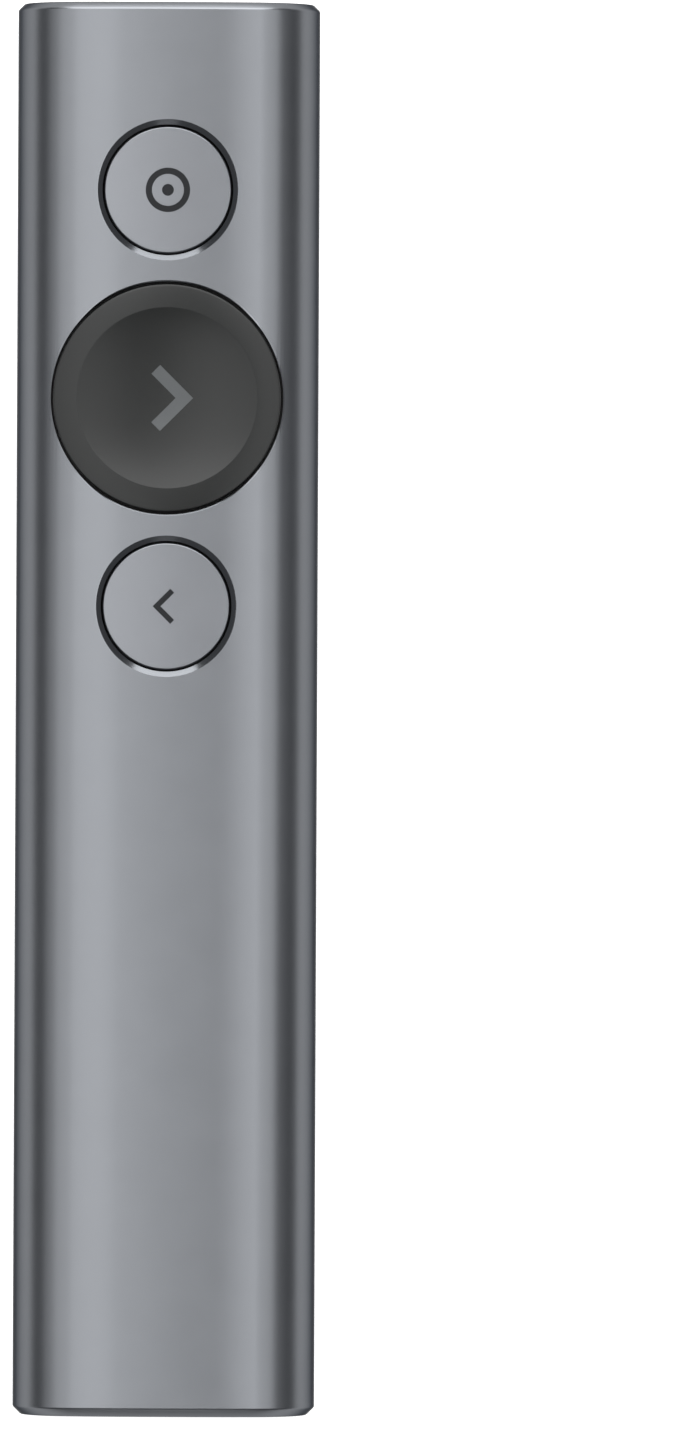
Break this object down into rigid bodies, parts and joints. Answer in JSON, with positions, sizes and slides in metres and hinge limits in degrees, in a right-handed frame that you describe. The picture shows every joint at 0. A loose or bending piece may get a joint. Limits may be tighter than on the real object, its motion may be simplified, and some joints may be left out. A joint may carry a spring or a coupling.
{
  "type": "wireless presentation clicker",
  "caption": "Slim anodised clicker with a dished main button between two small round buttons and a plug-in receiver stored in its tail.",
  "frame": {"origin": "middle of the flat back that it lies on, under the centre of the tube", "axes": "+Y from the tail to the nose, +Z out of the button face, +X to the right when the buttons face the reader and the nose is up"},
  "size_m": [0.0282, 0.1314, 0.0122],
  "materials": {
    "anodised_tube": "fine bead-blasted, slate grey anodised, satin",
    "dark_plastic": "matt, fine texture",
    "black_plastic": "matt black moulding",
    "receiver_plastic": "matt, fine texture",
    "button_anodised": "metallic paint to match the tube, satin",
    "button_black": "near-black, fine matt texture",
    "mark_dark": "dark inlay, satin",
    "mark_grey": "mid grey inlay, satin",
    "clear_pipe": "clear",
    "screw_steel": "plain steel",
    "spring_steel": "bright rolled strip",
    "tinned_steel": "tinned sheet",
    "weight_steel": "sintered heavy alloy, dull",
    "circuit_board": "green solder mask",
    "switch_plastic": "black moulding",
    "chip_black": "moulded epoxy",
    "ceramic_tan": "ceramic",
    "ceramic_white": "ceramic",
    "led_lens": "clear-topped chip LED",
    "cell_pouch": "foil pouch",
    "foam_tape": "double-sided foam",
    "red_wire": "silicone insulation",
    "black_wire": "silicone insulation",
    "connector_white": "nylon",
    "boot_rubber": "moulded rubber",
    "contact_gold": "gold plated"
  },
  "bodies": {
    "clicker": {"body_tube": "anodised_tube", "nose_cap": "dark_plastic", "light_pipe": "clear_pipe", "tail_bezel": "dark_plastic", "tail_screws": "screw_steel", "tail_trim": "dark_plastic", "chassis": "black_plastic", "bay_sleeve": "black_plastic", "bay_springs": "spring_steel", "button_deck": "black_plastic", "deck_screws": "screw_steel", "main_board": "circuit_board", "pointer_switch": "switch_plastic", "pointer_dome": "spring_steel", "next_switch": "switch_plastic", "next_dome": "spring_steel", "back_switch": "switch_plastic", "back_dome": "spring_steel", "radio_shield": "tinned_steel", "controller_chip": "chip_black", "motion_sensor": "chip_black", "charger_chip": "chip_black", "small_components": "ceramic_tan", "crystal": "tinned_steel", "chip_antenna": "ceramic_white", "status_led": "led_lens", "usb_c_shell": "tinned_steel", "usb_c_tongue": "black_plastic", "battery_cell": "cell_pouch", "battery_tape": "foam_tape", "battery_lead_red": "red_wire", "battery_lead_black": "black_wire", "battery_plug": "connector_white", "battery_socket": "connector_white", "motor_can": "tinned_steel", "motor_boot": "boot_rubber", "motor_leads": "red_wire"},
    "pointer_body": {"pointer_button": "button_anodised", "pointer_mark": "mark_dark", "pointer_plunger": "switch_plastic"},
    "next_body": {"next_button": "button_black", "next_mark": "mark_grey", "next_plunger": "switch_plastic"},
    "back_body": {"back_button": "button_anodised", "back_mark": "mark_dark", "back_plunger": "switch_plastic"},
    "motor_weight": {"motor_shaft": "screw_steel", "eccentric_weight": "weight_steel"},
    "receiver": {"receiver_shell": "receiver_plastic", "receiver_cap": "receiver_plastic", "receiver_plug_shell": "tinned_steel", "receiver_tongue": "black_plastic", "receiver_contacts": "contact_gold", "receiver_board": "circuit_board", "receiver_chip": "chip_black"}
  },
  "joints": [
    {"name": "pointer_press", "type": "slide", "parent": "clicker", "child": "pointer_body", "axis": [0, 0, -1], "range_m": [0, 0.0004], "stiffness_N_per_m": 600, "springref_m": -0.0003, "deforming": ["pointer_dome"]},
    {"name": "next_press", "type": "slide", "parent": "clicker", "child": "next_body", "axis": [0, 0, -1], "range_m": [0, 0.0005], "stiffness_N_per_m": 600, "springref_m": -0.0003, "deforming": ["next_dome"]},
    {"name": "back_press", "type": "slide", "parent": "clicker", "child": "back_body", "axis": [0, 0, -1], "range_m": [0, 0.0004], "stiffness_N_per_m": 600, "springref_m": -0.0003, "deforming": ["back_dome"]},
    {"name": "motor_spin", "type": "hinge", "parent": "clicker", "child": "motor_weight", "pos_m": [-0.00885, -0.0269, 0.005], "axis": [0, 1, 0], "continuous": true},
    {"name": "receiver_pull", "type": "slide", "parent": "clicker", "child": "receiver", "axis": [0, -1, 0], "range_m": [0, 0.036]}
  ]
}
